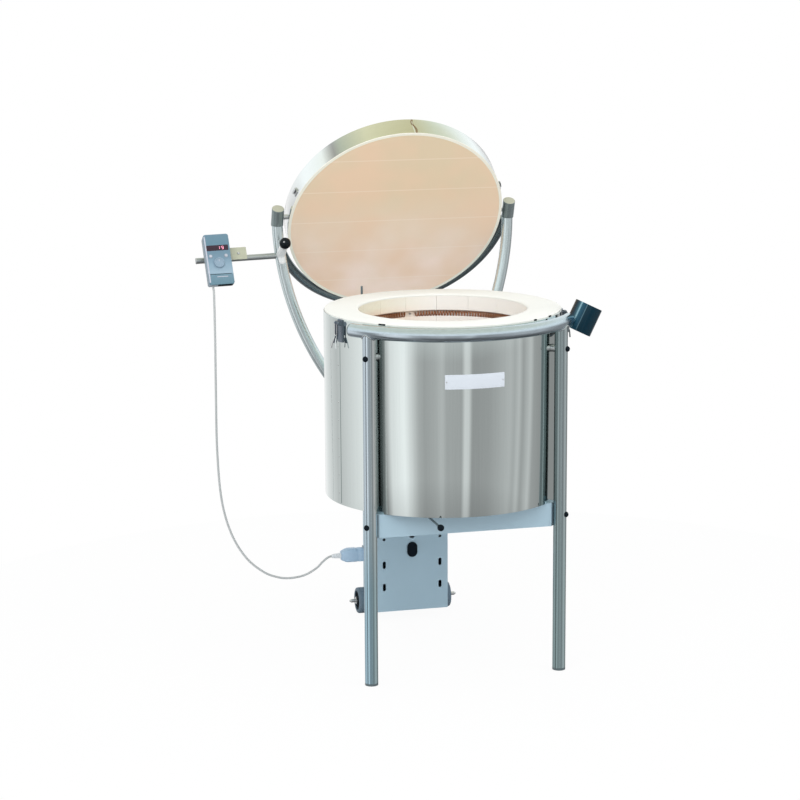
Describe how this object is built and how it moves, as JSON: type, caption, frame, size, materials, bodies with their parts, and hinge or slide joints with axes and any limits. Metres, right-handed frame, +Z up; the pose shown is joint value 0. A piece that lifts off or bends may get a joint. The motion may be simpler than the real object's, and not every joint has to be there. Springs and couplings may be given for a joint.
{
  "type": "electric kiln",
  "caption": "Top-loading round electric kiln on a tube stand with rear wheels; its lid swings back in a tube bow, with a controller on an arm.",
  "frame": {"origin": "on the floor, on the axis of the round firing chamber", "axes": "+X to the kiln's right seen from the front, +Y to the back where the lid hinge is, +Z up"},
  "size_m": [0.9278, 1.0406, 1.3713],
  "materials": {
    "tube_steel": "satin stainless tube",
    "jacket_steel": "polished stainless sheet",
    "plated_steel": "zinc plated",
    "pan_paint": "blue-grey powder coat",
    "dark_paint": "dark slate coat",
    "navy_plastic": "glossy dark navy",
    "black_plastic": "black moulded",
    "grey_plastic": "grey moulded",
    "pale_plastic": "pale moulded",
    "tread": "grey tread",
    "cable_sheath": "grey sheath",
    "wall_brick": "insulating brick",
    "lid_brick": "insulating brick",
    "fibre": "fibre board",
    "coat": "refractory coat",
    "element_wire": "oxidised resistance wire",
    "ceramic": "ceramic",
    "bracket_paint": "beige coat",
    "window": "dark display window"
  },
  "bodies": {
    "kiln": {"left_leg": "tube_steel", "right_leg": "tube_steel", "tube_plugs": "black_plastic", "front_ring": "tube_steel", "end_buffer": "navy_plastic", "leg_spacers": "plated_steel", "leg_bolts": "black_plastic", "carrier_pan": "pan_paint", "column_front": "pan_paint", "column_cover": "pan_paint", "cable_grommet": "black_plastic", "contactor": "pale_plastic", "control_socket": "grey_plastic", "axle": "plated_steel", "hinge_bracket": "pan_paint", "hinge_pin": "plated_steel", "bottom_plate": "plated_steel", "floor_brick": "wall_brick", "wall_bricks": "wall_brick", "backup_boards": "fibre", "rim_coat": "coat", "jacket": "jacket_steel", "top_element": "element_wire", "lower_elements": "element_wire", "element_tails": "plated_steel", "thermocouple": "ceramic", "terminal_cover": "jacket_steel", "latch_bases": "dark_paint", "switch_body": "black_plastic", "control_plug": "pale_plastic", "plug_relief": "pale_plastic", "control_cable": "cable_sheath"},
    "left_wheel": {"left_hub": "black_plastic", "left_tyre": "tread"},
    "right_wheel": {"right_hub": "black_plastic", "right_tyre": "tread"},
    "air_slide": {"slide_plate": "plated_steel", "slide_knob": "plated_steel"},
    "left_latch": {"left_latch": "navy_plastic"},
    "right_latch": {"right_latch": "navy_plastic"},
    "lid_switch": {"switch_plunger": "black_plastic"},
    "lid": {"lid_bow": "tube_steel", "hinge_arm": "tube_steel", "rest_hoop": "dark_paint", "bow_collars": "grey_plastic", "lid_pivots": "plated_steel", "lid_band": "jacket_steel", "lid_bricks": "lid_brick", "lid_cover": "jacket_steel", "latch_catches": "plated_steel", "clamp_stub": "tube_steel", "controller_bar": "tube_steel", "controller_bracket": "bracket_paint", "controller_case": "grey_plastic", "controller_panel": "grey_plastic", "display_window": "window"},
    "clamp_knob": {"clamp_knob": "navy_plastic"},
    "left_button": {"left_button": "pale_plastic"},
    "right_button": {"right_button": "pale_plastic"},
    "dial": {"dial": "grey_plastic"}
  },
  "joints": [
    {"name": "lid_hinge", "type": "hinge", "parent": "kiln", "child": "lid", "pos_m": [0, 0.391, 0.565], "axis": [1, 0, 0], "range_deg": [0, 57], "deforming": ["control_cable"]},
    {"name": "left_wheel_spin", "type": "hinge", "parent": "kiln", "child": "left_wheel", "pos_m": [-0.1195, 0.421, 0.036], "axis": [1, 0, 0], "continuous": true},
    {"name": "right_wheel_spin", "type": "hinge", "parent": "kiln", "child": "right_wheel", "pos_m": [0.1195, 0.421, 0.036], "axis": [1, 0, 0], "continuous": true},
    {"name": "air_slide_push", "type": "slide", "parent": "kiln", "child": "air_slide", "axis": [0, 1, 0], "range_m": [0, 0.06]},
    {"name": "left_latch_turn", "type": "hinge", "parent": "kiln", "child": "left_latch", "pos_m": [-0.29816, -0.09688, 0.908], "axis": [-0.309, 0.9511, 0], "range_deg": [0, 65]},
    {"name": "right_latch_turn", "type": "hinge", "parent": "kiln", "child": "right_latch", "pos_m": [0.29816, -0.09688, 0.908], "axis": [-0.309, -0.9511, 0], "range_deg": [0, 65]},
    {"name": "lid_switch_press", "type": "slide", "parent": "kiln", "child": "lid_switch", "axis": [0, 0, -1], "range_m": [0, 0.01], "stiffness_N_per_m": 120},
    {"name": "clamp_knob_turn", "type": "hinge", "parent": "lid", "child": "clamp_knob", "pos_m": [-0.31915, 0.4962, 1.00049], "axis": [-0.0318, -0.8742, 0.4846], "range_deg": [0, 270]},
    {"name": "left_button_press", "type": "slide", "parent": "lid", "child": "left_button", "axis": [0.0135, 0.8572, -0.5149], "range_m": [0, 0.0012], "stiffness_N_per_m": 400},
    {"name": "right_button_press", "type": "slide", "parent": "lid", "child": "right_button", "axis": [0.0135, 0.8572, -0.5149], "range_m": [0, 0.0012], "stiffness_N_per_m": 400},
    {"name": "dial_turn", "type": "hinge", "parent": "lid", "child": "dial", "pos_m": [-0.49997, 0.42811, 0.997], "axis": [0.0135, 0.8572, -0.5149], "continuous": true}
  ]
}
